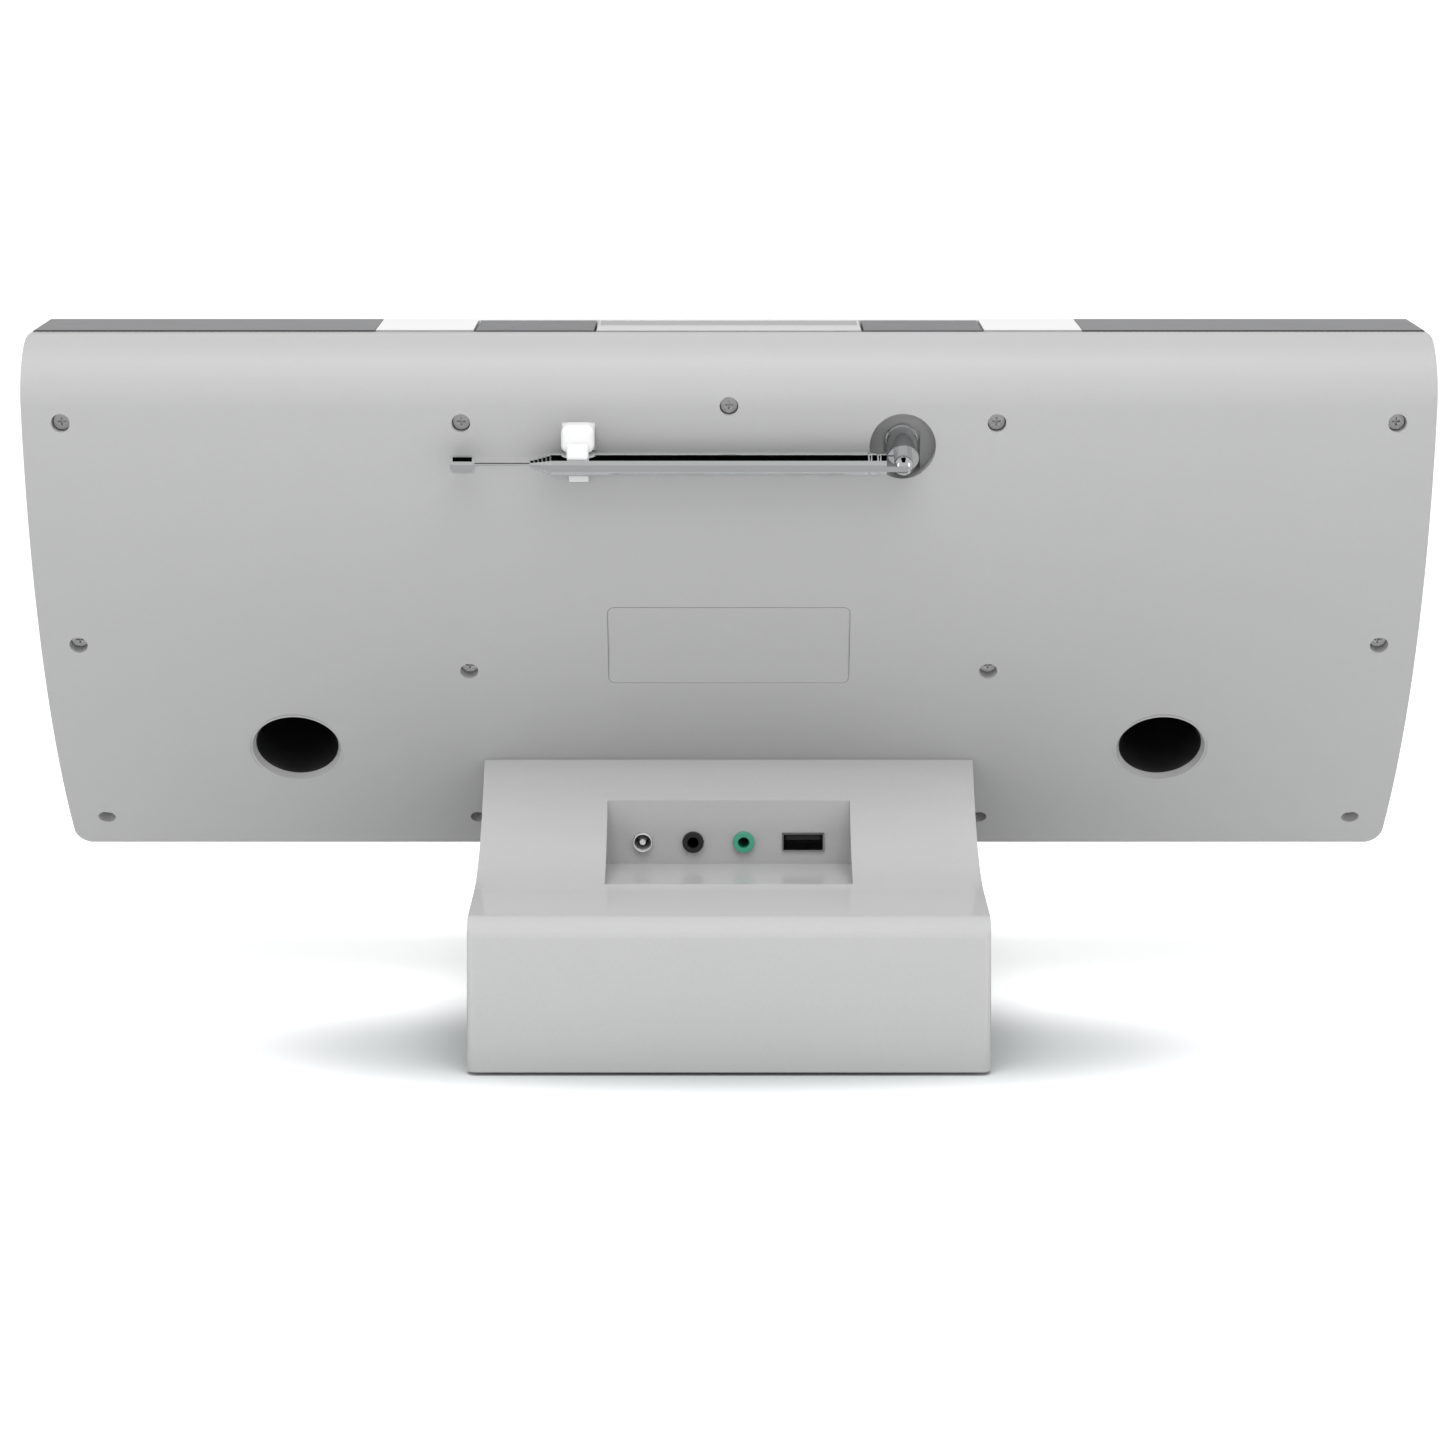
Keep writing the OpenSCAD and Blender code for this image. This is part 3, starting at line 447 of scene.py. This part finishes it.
def floor_material():
    """Pale studio floor with a painted soft shadow pooled round the base, a little darker in reflections.
    """
    m, t, p = new_material("pale_floor")
    p.inputs["Roughness"].default_value = 0.7
    p.inputs["Specular IOR Level"].default_value = 0.1
    p.inputs["Emission Color"].default_value = (1, 1, 1, 1)
    co = add_node(t, "TexCoord")
    mp = add_node(t, "Mapping", {"Location": (0, -PAINTED_SHADOW_Y / PAINTED_SHADOW_HALF_Y, 0),
                                 "Scale": (1 / PAINTED_SHADOW_HALF_X, 1 / PAINTED_SHADOW_HALF_Y, 1)})
    size = add_node(t, "VectorMath", operation="LENGTH")
    # Painted shadow: the floor's colour and glow darken towards the ellipse's core round the base
    painted_shadow_fade = add_node(t, "MapRange", {"From Min": PAINTED_SHADOW_CORE, "From Max": 1.0},
                    interpolation_type="SMOOTHSTEP")
    painted_shadow_tint = add_node(t, "Mix", {"A": PAINTED_SHADOW_COLOR, "B": FLOOR_COLOR}, data_type="RGBA")
    glow = add_node(t, "Math", {1: FLOOR_GLOW}, operation="MULTIPLY")
    t.links.new(co.outputs["Object"], mp.inputs["Vector"])
    t.links.new(mp.outputs["Vector"], size.inputs[0])
    t.links.new(size.outputs["Value"], painted_shadow_fade.inputs["Value"])
    t.links.new(painted_shadow_fade.outputs["Result"], painted_shadow_tint.inputs["Factor"])
    t.links.new(painted_shadow_fade.outputs["Result"], glow.inputs[0])
    t.links.new(painted_shadow_tint.outputs["Result"], p.inputs["Base Color"])
    t.links.new(glow.outputs["Value"], p.inputs["Emission Strength"])
    dim = add_node(t, "Emission", {"Color": (FLOOR_IN_REFLECTIONS,) * 3 + (1,)})
    ray = add_node(t, "LightPath")
    both = add_node(t, "MixShader")
    t.links.new(ray.outputs["Is Glossy Ray"], both.inputs["Fac"])
    t.links.new(p.outputs["BSDF"], both.inputs[1])
    t.links.new(dim.outputs["Emission"], both.inputs[2])
    t.links.new(both.outputs["Shader"], t.nodes["Material Output"].inputs["Surface"])
    return m


def sheet(name, x, y0, y1, z, material):
    """Flat stage sheet from -x to x and from y0 to y1."""
    me = bpy.data.meshes.new(name)
    me.from_pydata([(-x, y0, z), (x, y0, z), (x, y1, z), (-x, y1, z)], [], [(0, 1, 2, 3)])
    me.materials.append(material)
    ob = place(name, me)
    return ob


sheet("floor", 6, -6, 6, 0, floor_material())

# A black card overhead, seen only in reflections
card_mat, _, card_shader = new_material("black_card")
card_shader.inputs["Base Color"].default_value = (0.001, 0.001, 0.001, 1)
card_shader.inputs["Specular IOR Level"].default_value = 0.0
card = sheet("black_card", 0.55, -1.0, 1.6, 1.6, card_mat)
card.visible_camera = False
card.visible_diffuse = False
card.visible_shadow = False
card.visible_transmission = False


def area(name, at, look, size, watts, shiny=True):
    """Rectangular area light aimed at a point."""
    data = bpy.data.lights.new(name, "AREA")
    data.shape = "RECTANGLE"
    data.size, data.size_y = size
    data.energy = watts
    ob = place(name, data)
    ob.location = at
    ob.rotation_euler = (Vector(look) - Vector(at)).to_track_quat("-Z", "Y").to_euler()
    ob.visible_glossy = shiny


area("overhead", (0, 0.62, 1.45), (0, 0.05, 0.08), (1.5, 1.0), 14, shiny=False)
area("top_fill", (0, 0.38, 1.2), (0, 0.04, 0.06), (0.8, 0.3), 4.5, shiny=False)
for side in (-1, 1):
    area("side_soft_%d" % (side + 1), (side * 1.5, 0.7, 0.5), (0, 0.05, 0.14), (0.4, 0.9), 2.0)

# Even white surroundings, dimmer in reflections and a little brighter behind the object
WORLD_LIGHT, WORLD_IN_REFLECTIONS, WORLD_BACKDROP = 0.98, 0.56, 0.1
world = bpy.data.worlds.new("studio")
world.use_nodes = True
bpy.context.scene.world = world
wt = world.node_tree
bg = wt.nodes["Background"]
path = add_node(wt, "LightPath")
level = add_node(wt, "MapRange", {"To Min": WORLD_LIGHT, "To Max": WORLD_IN_REFLECTIONS})
seen = add_node(wt, "Math", {1: WORLD_BACKDROP}, operation="MULTIPLY_ADD")
wt.links.new(path.outputs["Is Glossy Ray"], level.inputs["Value"])
wt.links.new(path.outputs["Is Camera Ray"], seen.inputs[0])
wt.links.new(level.outputs["Result"], seen.inputs[2])
wt.links.new(seen.outputs["Value"], bg.inputs["Strength"])
bg.inputs["Color"].default_value = (1, 1, 1, 1)
bpy.context.scene.view_settings.view_transform = "Standard"

# The photograph's viewing angle: behind the radio, looking 13 degrees down
cam_data = bpy.data.cameras.new("camera")
cam_data.sensor_width = 36
cam_data.lens = 90.93
cam = place("camera", cam_data)
cam.location = (0.002, 1.155, 0.3604)
cam.rotation_euler = (math.radians(77), 0, math.pi)
bpy.context.scene.camera = cam
